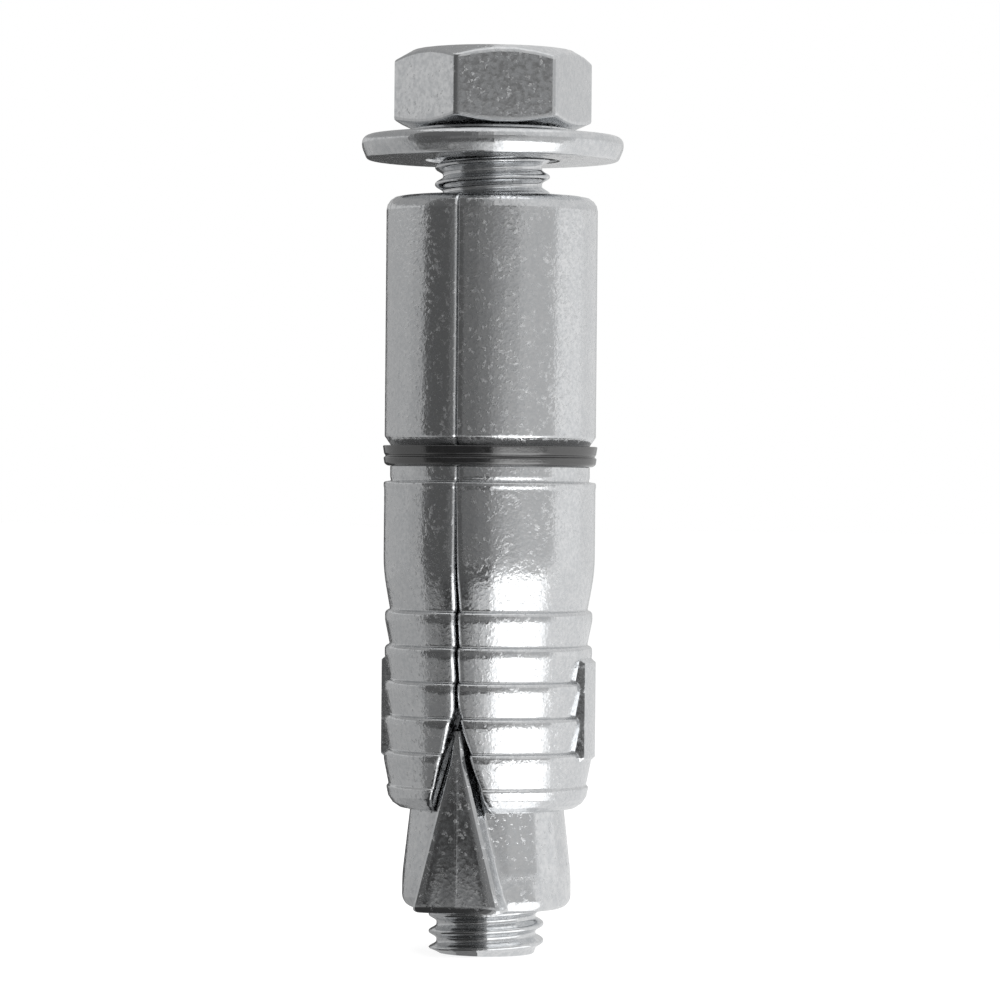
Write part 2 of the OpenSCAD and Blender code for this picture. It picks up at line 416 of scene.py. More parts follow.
@dataclass
class ThreadTree:
    """Geometry Nodes tree that winds a grid into a right-hand screw thread."""

    columns: int = 72
    steps: int = 16
    shift: float = -0.3
    crest_flat: float = 0.04
    root_flat: float = 0.42

    def build(self) -> NodeTree:
        """Makes the tree, with the sizes of a thread as its inputs.

        Returns:
            The tree.
        """
        tree = bpy.data.node_groups.new("screw_thread", "GeometryNodeTree")
        for name in ("Crest", "Root", "Start", "End", "Low", "Low Run", "High", "High Run", "Pitch"):
            tree.interface.new_socket(name, in_out="INPUT", socket_type="NodeSocketFloat")
        tree.interface.new_socket("Inside", in_out="INPUT", socket_type="NodeSocketBool")
        tree.interface.new_socket("Finish", in_out="INPUT", socket_type="NodeSocketMaterial")
        tree.interface.new_socket("Mesh", in_out="OUTPUT", socket_type="NodeSocketGeometry")
        given = dict(add_node(tree, "NodeGroupInput").outputs.items())
        place = add_node(tree, "ShaderNodeSeparateXYZ", Vector=add_node(tree, "GeometryNodeInputPosition").outputs[0])
        given |= {"Across": place.outputs["X"], "Along": place.outputs["Y"]}
        sums = (
            ("length", "SUBTRACT", "End", "Start"),
            ("pitches", "DIVIDE", "length", "Pitch"),
            ("enough", "ADD", "pitches", 3.0),
            ("turns", "CEIL", "enough"),
            ("spaces", "MULTIPLY", "turns", float(self.steps)),
            ("rows", "ADD", "spaces", 1.0),
            ("share", "ADD", "Across", 0.5),
            ("angle", "MULTIPLY", "share", 2 * math.pi),
            ("cosine", "COSINE", "angle"),
            ("sine", "SINE", "angle"),
            ("upward", "ADD", "Along", 0.5),
            ("turn", "MULTIPLY", "upward", "turns"),
            ("lead", "DIVIDE", "Start", "Pitch"),
            ("phase", "FRACT", "lead"),
            ("lag", "ADD", "phase", 1.0),
            ("behind", "SUBTRACT", "turn", "lag"),
            ("wound", "ADD", "behind", "share"),
            ("shifted", "ADD", "wound", self.shift),
            ("rise", "MULTIPLY", "shifted", "Pitch"),
            ("level", "ADD", "rise", "Start"),
            ("above", "MAXIMUM", "level", "Start"),
            ("height", "MINIMUM", "above", "End"),
            ("tooth", "PINGPONG", "turn", 0.5),
            ("low end", "ADD", "Start", "Low Run"),
            ("high start", "SUBTRACT", "End", "High Run"),
        )
        for name, operation, *values in sums:
            inputs = [given[value] if isinstance(value, str) else value for value in values]
            given[name] = add_sum(tree, operation, *inputs)
        grid = add_node(tree, "GeometryNodeMeshGrid", Size_X=1.0, Size_Y=1.0, Vertices_X=self.columns + 1,
                        Vertices_Y=given["rows"])
        flank = add_node(tree, "ShaderNodeMapRange", {"interpolation_type": "SMOOTHSTEP"}, Value=given["tooth"],
                         From_Min=self.crest_flat, From_Max=self.root_flat, To_Min=given["Crest"],
                         To_Max=given["Root"]).outputs["Result"]
        low = add_ramp(tree, given["height"], given["Start"], given["low end"], given["Low"], flank)
        radius = add_ramp(tree, given["height"], given["high start"], given["End"], low, given["High"])
        outward = add_node(tree, "ShaderNodeCombineXYZ", X=given["cosine"], Y=given["sine"])
        wide = add_node(tree, "ShaderNodeVectorMath", {"operation": "SCALE"}, Vector=outward.outputs[0], Scale=radius)
        upright = add_node(tree, "ShaderNodeCombineXYZ", Z=given["height"])
        wound = add_node(tree, "ShaderNodeVectorMath", {"operation": "ADD"}, i0=wide.outputs[0], i1=upright.outputs[0])
        screw = add_node(tree, "GeometryNodeSetPosition", Geometry=grid.outputs["Mesh"], Position=wound.outputs[0])
        merged = add_node(tree, "GeometryNodeMergeByDistance", Geometry=screw.outputs[0], Distance=0.002 * MM)
        turned = add_node(tree, "GeometryNodeFlipFaces", Mesh=merged.outputs[0], Selection=given["Inside"])
        real = add_node(tree, "GeometryNodeRealizeInstances", Geometry=turned.outputs[0])
        dressed = add_node(tree, "GeometryNodeSetMaterial", Geometry=real.outputs[0], Material=given["Finish"])
        add_node(tree, "NodeGroupOutput", Mesh=dressed.outputs[0])
        return tree

    def wind(self, thread: Thread, material: Material) -> Mesh:
        """Winds one thread and makes it a plain mesh.

        Args:
            thread: Its sizes.
            material: Its finish.

        Returns:
            The mesh, in metres.
        """
        tree = bpy.data.node_groups.get("screw_thread") or self.build()
        holder = bpy.data.objects.new("thread_holder", bpy.data.meshes.new("thread_holder"))
        bpy.context.scene.collection.objects.link(holder)
        modifier = holder.modifiers.new("thread", "NODES")
        modifier.node_group = tree
        # Every input but the finish is a value of the thread, under the same name.
        for item in tree.interface.items_tree:
            if item.in_out == "INPUT":
                value = getattr(thread, item.name.lower().replace(" ", "_"), material)
                modifier[item.identifier] = value * MM if isinstance(value, float) else value
        evaluated = holder.evaluated_get(bpy.context.evaluated_depsgraph_get())
        mesh = bpy.data.meshes.new_from_object(evaluated)
        holder.modifiers.remove(modifier)
        bpy.data.objects.remove(holder)
        return mesh


@dataclass
class Bolt:
    """Hex bolt, threaded up to its head."""

    finish: Material
    threads: ThreadTree
    crest: float = 5.93
    root: float = 5.12
    tip_r: float = 4.9
    tip_cone: float = 0.5
    tip_middle: float = 0.55
    neck: float = 0.3
    neck_in: float = 0.2
    run_out: float = 1.6
    bearing_z: float = 84.6
    bearing_r: float = 8.3
    boss_z: float = 84.85
    top_z: float = 93.0
    across: float = 18.0
    flat_r: float = 8.2
    middle_r: float = 4.0
    cut_deg: float = 30.0
    under_slope: float = 0.45
    turn_deg: float = -93.5
    corner_round: float = 0.45

    def outline(self) -> list[Flat]:
        """The six-sided outline with rounded corners, as points in the plane."""
        reach = self.across / 2 / math.cos(math.pi / 6)
        corners = [math.radians(self.turn_deg + 60 * i) for i in range(6)]
        plain = [(reach * math.cos(a), reach * math.sin(a)) for a in corners]
        points: list[Flat] = []
        for i in range(6):
            before, here, after = plain[i - 1], plain[i], plain[(i + 1) % 6]
            points += soften([(*before, 0.0), (*here, self.corner_round), (*after, 0.0)], 4)[1:-1]
            points += [tuple(Vector(here).lerp(Vector(after), t)) for t in (0.06, 0.2, 0.4, 0.6, 0.8, 0.94)]
        return points

    def head_loops(self) -> list[list[Point]]:
        """Loops of the head from the middle of its underside to its top."""
        plan = self.outline()
        slope = math.tan(math.radians(self.cut_deg))
        spans = [math.hypot(x, y) for x, y in plan]

        def level(radius: float, z: float) -> list[Point]:
            """A round loop below each point of the outline."""
            return [(x / s * radius, y / s * radius, z) for (x, y), s in zip(plan, spans)]

        def turned(by: float, z: float, start: float, rise: float) -> list[Point]:
            """The outline drawn in a little, on a turned cone that has one radius at one height."""
            return [(x / s * (s - by), y / s * (s - by), z + (s - by - start) * rise)
                    for (x, y), s in zip(plan, spans)]

        base, boss, edge, top, flat = self.bearing_z, self.boss_z, self.bearing_r, self.top_z, self.flat_r
        foot = ((self.middle_r, base), (edge - 0.15, base), (edge - 0.04, base + 0.04), (edge, base + 0.12),
                (edge, boss - 0.02), (edge + 0.12, boss + 0.05))
        loops = [level(r, z) for r, z in foot]
        # Both turned faces end in a small rounding: how far it is drawn in, and its height from the cone.
        for by, lift in ((0.3, 0.0), (0.12, 0.0), (0.03, 0.05), (0.0, 0.18), (0.0, 0.4)):
            loops.append(turned(by, boss + lift, edge, self.under_slope))
        for by, drop in ((0.0, 0.4), (0.0, 0.22), (0.03, 0.07), (0.14, 0.0), (0.3, 0.0)):
            loops.append(turned(by, top - drop, flat, -slope))
        crown = ((flat + 0.15, top - 0.15 * slope), (flat, top - 0.03), (flat - 0.2, top), (self.middle_r, top))
        return loops + [level(r, z) for r, z in crown]

    def build(self) -> Object:
        """Makes the bolt and puts it on its body.

        Returns:
            The piece.
        """
        skin = Skin()
        columns = self.threads.columns
        neck_r, neck_z = self.root + self.neck, self.bearing_z + self.neck_in
        screw = Thread(crest=self.crest, root=self.root, start=0.0, end=neck_z, low=self.tip_r,
                       low_run=self.tip_cone, high=neck_r, high_run=self.run_out)
        skin.take(self.threads.wind(screw, self.finish))
        tip = skin.stack([circle(self.tip_r * share, 0.0, columns) for share in (1.0, self.tip_middle)])
        skin.cap(tip[-1])
        skin.cap(skin.loop(circle(neck_r, neck_z, columns)))
        head = skin.stack(self.head_loops())
        skin.cap(head[0])
        skin.cap(head[-1])
        piece = skin.finish("bolt_threaded", self.finish, 50.0)
        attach(piece, "bolt")
        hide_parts("hex_bolt")
        return piece


@dataclass
class FlatWasher:
    """Stamped washer: rounded upper edge, and a lower edge that the stamping drew in."""

    finish: Material
    low_z: float = 81.7
    thick: float = 2.5
    outer: float = 13.5
    hole: float = 6.75
    edge: float = 0.8
    draw_in: float = 0.52
    draw_h: float = 1.25
    low_edge: float = 0.3
    side_edge: float = 0.35
    hole_edge: float = 0.2
    columns: int = 160

    def build(self) -> Object:
        """Makes the washer and puts it on its body.

        Returns:
            The piece.
        """
        middle = (self.outer + self.hole) / 2
        high_z = self.low_z + self.thick
        outline = soften([(middle, self.low_z, 0.0), (self.outer - self.draw_in, self.low_z, self.low_edge),
                          (self.outer, self.low_z + self.draw_h, self.side_edge), (self.outer, high_z, self.edge),
                          (middle, high_z, 0.0)], 6)
        outline += soften([(middle, high_z, 0.0), (self.hole, high_z, self.hole_edge),
                           (self.hole, self.low_z, self.hole_edge), (middle, self.low_z, 0.0)], 3)[1:]
        skin = Skin()
        skin.stack([circle(r, z, self.columns) for r, z in guarded(outline)])
        piece = skin.finish("washer_flat", self.finish)
        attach(piece, "washer")
        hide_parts("washer")
        return piece


@dataclass
class HalfShell:
    """One half of the shield: lip, saw-tooth ribs, plain wall, ring groove, fin and parting faces."""

    side: Side
    finish: Material
    lip_z: float = 14.9
    top_z: float = 77.9
    wall: float = 10.9
    bore: float = 7.5
    lip: float = 10.4
    lip_h: float = 2.3
    lip_round: float = 2.15
    top_round: float = 1.4
    rib_pitch: float = 3.6
    rib_count: int = 5
    crest: float = 10.7
    valley: float = 10.2
    crest_h: float = 0.9
    step_h: float = 0.22
    run_in_h: float = 3.9
    ring_z: float = 51.2
    ring_path: float = 10.03
    ring_seat: float = 1.13
    groove: float = 10.3
    groove_up: float = 1.8
    groove_down: float = 2.62
    slit_top: float = 0.06
    slit_low: float = 0.26
    slit_open_z: float = 36.0
    slit_closed_z: float = 46.0
    notch_h: float = 10.4
    notch_w: float = 6.2
    notch_top: float = 0.4
    notch_ease: float = 1.4
    fin_r: float = 11.18
    fin_half_deg: float = 10.0
    fin_start: float = 4.6
    fin_len: float = 11.5
    fin_ramp: float = 0.9
    fin_side_deg: float = 1.0
    crisp_edge: float = 0.12
    bevel_edge: float = 0.42
    bevel_power: float = 1.6
    rolled_edge: float = 0.5
    bead: float = 0.07
    cone_z: float = 8.0
    cone_r: float = 8.7
    cone_slope: float = 0.1104
    spread: float = 0.58
    seat_gap: float = 0.05
    lead_h: float = 0.4
    lead_slope: float = 0.8
    wall_steps: int = 11
    edge_steps: int = 5

    def outline(self) -> list[Flat]:
        """The outside of the shell from the lip up, as radius and height."""
        rib_z = self.lip_z + self.lip_h
        corners: list[Corner] = [(self.lip - self.lip_round - 0.05, self.lip_z, 0.0),
                                 (self.lip, self.lip_z, self.lip_round), (self.lip, rib_z, 0.1)]
        for i in range(1, self.rib_count + 1):
            high = rib_z + i * self.rib_pitch
            corners += [(self.valley, high - self.rib_pitch + self.step_h, 0.12),
                        (self.crest, high - self.crest_h, 0.25), (self.crest, high, 0.32)]
        high = rib_z + self.rib_count * self.rib_pitch
        low_wall, high_wall = self.ring_z - self.groove_down, self.ring_z + self.groove_up
        corners += [(self.valley, high + self.step_h, 0.12), (self.wall, high + self.step_h + self.run_in_h, 1.6),
                    (self.wall, low_wall - 0.8, 0.12), (self.wall + self.bead, low_wall - 0.42, 0.12),
                    (self.wall + self.bead * 0.5, low_wall - 0.08, 0.15),
                    (self.groove - 1.4 * self.bead, low_wall + 0.05, 0.1), (self.groove, low_wall + 0.45, 0.14)]
        span = math.sqrt(self.ring_seat**2 - (self.groove - self.ring_path) ** 2)
        for d in (span * (i / 4 - 1) for i in range(9)):
            inset = self.ring_path - math.sqrt(self.ring_seat**2 - d * d)
            corners.append((inset if abs(d) < span else self.groove, self.ring_z + d, 0.0))
        corners += [(self.groove + 0.02, self.ring_z + span + 0.06, 0.03), (self.wall - 0.14, high_wall, 0.05),
                    (self.wall, high_wall + 0.16, 0.34), (self.wall, self.top_z, self.top_round),
                    (self.wall - self.top_round - 0.1, self.top_z, 0.0)]
        outline = guarded(soften(corners, 4))
        for z in (*self.fin_levels(), self.lip_z + self.notch_h):
            outline = self.with_level(outline, z)
        return outline

    def fin_levels(self) -> list[float]:
        """Heights at which the fin changes slope."""
        low = self.lip_z + self.fin_start
        high = low + self.fin_len
        return [low, low + self.fin_ramp, high - self.fin_ramp, high]

    @staticmethod
    def with_level(outline: list[Flat], z: float) -> list[Flat]:
        """Adds a point to the outline at one height.

        Args:
            outline: Radius and height, rising.
            z: The height.

        Returns:
            The outline with the point.
        """
        for i, ((r0, z0), (r1, z1)) in enumerate(zip(outline, outline[1:])):
            if z0 < z < z1:
                r = r0 + (r1 - r0) * (z - z0) / (z1 - z0)
                return outline[: i + 1] + [(r, z)] + outline[i + 1 :]
        return outline

    def closed(self, z: float) -> float:
        """How far the slit has closed at a height, from 0 where it is open to 1 where it is shut."""
        share = (z - self.slit_open_z) / (self.slit_closed_z - self.slit_open_z)
        return max(0.0, min(1.0, share))

    def gap(self, z: float) -> float:
        """Distance of the parting face from the middle plane at a height."""
        notch_z = self.lip_z + self.notch_h
        if z < notch_z:
            return self.notch_top / 2 + (self.notch_w - self.notch_top) / 2 * (notch_z - z) / self.notch_h
        ease = max(0.0, 1 - (z - notch_z) / self.notch_ease)
        slit = self.slit_low + (self.slit_top - self.slit_low) * self.closed(z)
        return (slit + (self.notch_top - self.slit_low) * ease) / 2

    def fin(self, angle_deg: float, z: float, r: float) -> float:
        """Radius with the fin laid over the outline.

        Args:
            angle_deg: Angle from the middle of the shell.
            z: Height.
            r: Radius of the outline there.

        Returns:
            The larger radius, with steep sides.
        """
        low, low_top, high_top, high = self.fin_levels()
        if not low < z < high:
            return r
        ramp = min(1.0, (z - low) / (low_top - low), (high - z) / (high - high_top))
        top = self.valley + (self.fin_r - self.valley) * ramp
        side = max(0.0, min(1.0, (self.fin_half_deg - abs(angle_deg)) / self.fin_side_deg + 0.5))
        return max(r, r + (top - r) * side * side * (3 - 2 * side))

    def inside(self, angle: float, z: float) -> float:
        """Radius of the bore and cone seat at an angle from the middle of the shell."""
        seat = self.cone_r - (z - self.cone_z) * self.cone_slope + self.spread + self.seat_gap
        shift = self.spread * math.cos(angle)
        across = math.sqrt(max(seat * seat - (self.spread * math.sin(angle)) ** 2, 0.0)) - shift
        lead = max(0.0, z - self.top_z + self.lead_h) * self.lead_slope
        return max(self.bore + lead, across)

    def columns(self) -> list[float]:
        """Angles in degrees of the columns that keep their place, from the middle of the shell outwards."""
        half = self.fin_half_deg
        fine = [half - 1.2, half - 0.5, half - 0.2, half, half + 0.2, half + 0.5, half + 1.4]
        return [0.0, 3.0, 6.0] + fine + [15.0, 19.0, 24.0, 29.0, 34.0, 39.0, 44.0]

    def half_row(self, radius: float, z: float, outer: bool, edge: float, power: float) -> list[Flat]:
        """Points from the middle of the shell to one parting face.

        Args:
            radius: Radius of the outline.
            z: Height.
            outer: Whether the row lies on the outside.
            edge: Size of the edge at the parting face.
            power: Its form: 1 is round, and 2 is a flat bevel.

        Returns:
            The points, with their second value rising.
        """
        gap = self.gap(z)
        half: list[Flat] = []
        for angle in self.columns():
            a = math.radians(angle)
            r = self.fin(angle, z, radius) if outer else self.inside(a, z)
            half.append((r * math.cos(a), r * math.sin(a)))
        start = math.radians(self.columns()[-1])
        r_edge = radius if outer else self.inside(math.pi / 2, z)
        stop = math.acos((gap + edge) / r_edge)
        for k in range(1, self.wall_steps + 1):
            a = start + (stop - start) * k / self.wall_steps
            r = radius if outer else self.inside(a, z)
            half.append((r * math.cos(a), r * math.sin(a)))
        for k in range(1, self.edge_steps + 1):
            bend = math.pi / 2 * k / self.edge_steps
            x = gap + edge * (1 - math.sin(bend) ** power)
            r = radius - edge * (1 - max(0.0, math.cos(bend)) ** power) if outer else r_edge
            half.append((x, math.sqrt(max(r * r - x * x, 0.0))))
        return half

    def row(self, radius: float, z: float, outer: bool) -> list[Point]:
        """One row of points across the half, from its crisp edge to its rolled edge.

        Args:
            radius: Radius of the outline.
            z: Height.
            outer: Whether the row lies on the outside.

        Returns:
            The points.
        """
        bevel = self.bevel_edge + (self.crisp_edge - self.bevel_edge) * self.closed(z)
        crisp = [(x, -y) for x, y in self.half_row(radius, z, outer, bevel, self.bevel_power)[1:]]
        rolled = self.half_row(radius, z, outer, self.rolled_edge, 1.0)
        return [self.side.place(x, y, z) for x, y in crisp[::-1] + rolled]

    def build(self) -> Object:
        """Makes the half shell and puts it on its body.

        Returns:
            The piece.
        """
        skin = Skin()
        outline = self.outline()
        outer = skin.stack([self.row(r, z, True) for r, z in outline], closed=False)
        inner = skin.stack([self.row(r, z, False) for r, z in outline], closed=False)
        skin.strip(outer[0], inner[0], closed=False)
        skin.strip(outer[-1], inner[-1], closed=False)
        for end in (0, -1):
            skin.strip([row[end] for row in outer], [row[end] for row in inner], closed=False)
        piece = skin.finish(f"shell_{self.side.name.lower()}", self.finish)
        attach(piece, self.side.body)
        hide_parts(self.side.body)
        return piece


@dataclass
class RubberRing:
    """Half of the rubber ring: two lobes with a crease between them."""

    side: Side
    finish: Material
    path: float = 10.03
    thick: float = 1.05
    z: float = 51.2
    low_lobe: float = 0.97
    crease: float = 0.78
    lean_deg: float = 9.2
    columns: int = 64
    inner_steps: int = 20

    def outline(self) -> list[Flat]:
        """The section as distance from the path and height: a round back, and two lobes that lean down a little."""
        half = self.thick
        back = [math.radians(270 - 180 * k / self.inner_steps) for k in range(self.inner_steps + 1)]
        lean = math.tan(math.radians(self.lean_deg))
        lobes = soften([(0.0, half, 0.0), (half, half, 0.13), (half - 0.87 * lean, half - 0.87, 0.12),
                        (self.crease, 0.04, 0.05), (self.crease, -0.06, 0.05), (self.low_lobe, -0.2, 0.1),
                        (self.low_lobe - 0.62 * lean, -0.82, 0.2), (0.55, -half, 0.24), (0.0, -half, 0.0)], 5)
        return [(half * math.cos(a), half * math.sin(a)) for a in back[1:-1]] + guarded(lobes, 0.05)

    def section(self, angle: float) -> list[Point]:
        """The section at one angle round the shield."""
        across, along = math.cos(angle), math.sin(angle)
        return [self.side.place((self.path + out) * across, (self.path + out) * along, self.z + up)
                for out, up in self.outline()]

    def build(self) -> Object:
        """Makes the half ring, with its place baked into its mesh.

        Returns:
            The piece.
        """
        skin = Skin()
        angles = [math.pi * (k / self.columns - 0.5) for k in range(self.columns + 1)]
        loops = skin.stack([self.section(a) for a in angles])
        skin.cap(loops[0])
        skin.cap(loops[-1])
        piece = skin.finish(f"ring_{self.side.name.lower()}", self.finish)
        far = self.side.place(self.path, 0.0, self.z)
        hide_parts("retaining_ring")
        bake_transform(piece)
        return piece


@dataclass
class ConeNut:
    """Expander nut: a cone with a straight rounded foot, two wedge keys and a thread."""

    finish: Material
    threads: ThreadTree
    foot_z: float = 4.7
    top_z: float = 25.0
    cone_z: float = 8.0
    foot_r: float = 8.7
    foot_round: float = 1.3
    slope: float = 0.1104
    bore: float = 6.0
    key_half: float = 4.8
    key_neck_z: float = 20.05
    key_neck: float = 0.84
    key_top: float = 0.33
    key_top_z: float = 23.3
    key_reach: float = 9.95
    key_edge: float = 0.3
    key_foot: float = 0.6
    key_cap: float = 0.3
    fillet: float = 0.25
    seam: float = 0.05
    thread_gap: float = 0.08
    mouth: float = 0.35
    mouth_run: float = 0.6
    cone_steps: int = 14

    def cone(self, z: float) -> float:
        """Radius of the cone at a height."""
        return self.foot_r - (z - self.cone_z) * self.slope

    def levels(self) -> list[Flat]:
        """Radius and height of the cone from its foot up."""
        corners: list[Corner] = [(self.foot_r - self.foot_round - 0.2, self.foot_z, 0.0),
                                 (self.foot_r, self.foot_z, self.foot_round), (self.foot_r, self.cone_z, 0.9)]
        rise = [self.cone_z + k for k in range(1, 14)]
        # Closer levels round off the points of the keys.
        rise += [self.key_top_z + up for up in (-0.02, 0.12, 0.24, self.key_cap, 0.32)]
        corners += [(self.cone(z), z, 0.0) for z in rise]
        corners += [(self.cone(self.top_z), self.top_z, 0.25), (self.bore + 0.4, self.top_z, 0.0)]
        return soften(corners, 6)

    def key(self, z: float, r: float) -> tuple[float, float]:
        """Half width and reach of a key at a height.

        Args:
            z: Height.
            r: Radius of the cone there.

        Returns:
            Half width, and distance of its face from the axis.
        """
        low_share = min(1.0, (z - self.foot_z) / (self.key_neck_z - self.foot_z))
        high_share = max(0.0, (z - self.key_neck_z) / (self.key_top_z - self.key_neck_z))
        half = self.key_half + (self.key_neck - self.key_half) * low_share
        half = max(half + (self.key_top - self.key_neck) * high_share, self.key_top)
        above = (z - self.key_top_z) / self.key_cap
        if above >= 1:
            return half, r
        reach = self.key_reach
        if above > 0:
            reach = r + (reach - r) * math.sqrt(1 - above * above)
        low = 1 - min(1.0, (z - self.foot_z) / self.key_foot)
        ease = self.key_foot * (1 - math.sqrt(max(0.0, 1 - low * low)))
        return half - ease, reach - ease

    def loop(self, r: float, z: float) -> list[Point]:
        """One level round the nut, keys included.

        Args:
            r: Radius of the cone.
            z: Height.

        Returns:
            The points.
        """
        half, reach = self.key(z, r)
        flat = reach <= r + 0.01
        edge = 0.0 if flat else min(self.key_edge, 0.62 * half, 0.6 * (reach - r))
        fillet = min(self.fillet, 0.11 * half)

        def on_cone(x: float) -> float:
            """Distance of the cone's front from the middle plane."""
            return math.sqrt(max(r * r - x * x, 0.0))

        def face(x: float, lift: float = 0.0) -> tuple[float, float]:
            """A point of the key's face, or of the cone where the key has ended."""
            return (x, -on_cone(x) if flat else -(reach + lift))

        seam = self.seam if not flat and half > 1.0 else 0.0
        part = [face(0.0, seam), face(min(0.1, 0.15 * half), seam * 0.75), face(min(0.24, 0.3 * half)),
                face(0.55 * half), face(half - edge)]
        for share in (0.06, 0.15, 0.85, 1.0):
            part.append((half - edge * (1 - share), face(half)[1] + edge * share**1.15))
        wall = on_cone(half)
        part.append((half, (part[-1][1] - wall - fillet) / 2 if not flat else -wall))
        for k in (0, 1, 2):
            bend = math.pi / 2 * k / 2
            x = half + fillet * (1 - math.cos(bend))
            part.append((x, -on_cone(x) - (0.0 if flat else fillet * (1 - math.sin(bend)))))
        start = math.asin(min(1.0, (half + fillet) / r))
        turns = [start + (math.pi / 2 - start) * k / self.cone_steps for k in range(1, self.cone_steps + 1)]
        part += [(r * math.sin(a), -r * math.cos(a)) for a in turns]
        right = part + [(x, -y) for x, y in reversed(part[:-1])]
        plan = right + [(-x, y) for x, y in reversed(right[1:-1])]
        return [(x, y, z) for x, y in plan]

    def build(self) -> Object:
        """Makes the nut and puts it on its body.

        Returns:
            The piece.
        """
        skin = Skin()
        loops = skin.stack([self.loop(r, z) for r, z in self.levels()[:-1]])
        mouth = self.bore + self.mouth
        for loop, z in ((loops[0], self.foot_z), (loops[-1], self.top_z)):
            skin.join(loop, skin.loop(circle(mouth, z, self.threads.columns)))
        screw = Thread(crest=self.bore, root=Bolt.root + self.thread_gap, start=self.foot_z, end=self.top_z, low=mouth,
                       low_run=self.mouth_run, high=mouth, high_run=self.mouth_run, inside=True)
        skin.take(self.threads.wind(screw, self.finish))
        piece = skin.finish("nut_cone", self.finish)
        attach(piece, "nut")
        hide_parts("cone_nut")
        return piece


WALL_R = 0.42
WALL_LOW = 0.0005
FLOOR_Z = 0.00005
LEDGE_Z = 0.009
LEDGE_BACK_Z = 0.0088
CEILING_Z = 0.7


class Band(Enum):
    """Where a card hangs: radius and height of its two long edges, in metres."""

    LOWER = ((WALL_R, WALL_LOW), (WALL_R, 0.111))
    KEY = ((0.09, WALL_LOW), (0.09, 0.013))
    FOOT = ((0.415, WALL_LOW), (0.415, 0.022))
    UPPER = ((WALL_R, 0.111), (WALL_R, 0.18))
    UPPER_SHORT = ((WALL_R, 0.111), (WALL_R, 0.16))
    TOP = ((WALL_R, 0.18), (WALL_R, CEILING_Z))
    TOP_LONG = ((WALL_R, 0.16), (WALL_R, CEILING_Z))
    END = ((0.0, FLOOR_Z), (0.0065, FLOOR_Z))
    FLOOR = ((0.0065, FLOOR_Z), (WALL_R, FLOOR_Z))
    TIP = ((0.0065, FLOOR_Z), (0.038, FLOOR_Z))
    PAST_TIP = ((0.038, FLOOR_Z), (WALL_R, FLOOR_Z))
    NEAR = ((0.038, FLOOR_Z), (0.085, FLOOR_Z))
    MID = ((0.085, FLOOR_Z), (0.125, FLOOR_Z))
    FAR = ((0.125, FLOOR_Z), (WALL_R, FLOOR_Z))
    TIP_LIGHT = ((0.0065, FLOOR_Z), (0.025, FLOOR_Z))
    PAST_LIGHT = ((0.025, FLOOR_Z), (WALL_R, FLOOR_Z))
    LEDGE = ((0.02, LEDGE_Z), (0.15, LEDGE_Z))
    LEDGE_BACK = ((0.02, LEDGE_BACK_Z), (0.15, LEDGE_BACK_Z))
    CEILING = ((0.0, CEILING_Z), (WALL_R, CEILING_Z))


@dataclass(frozen=True)
class Card:
    """A studio card, curved round the object and seen only in reflections, at angles from the camera to the right."""

    name: str
    start_deg: float
    end_deg: float
    strength: float
    band: Band


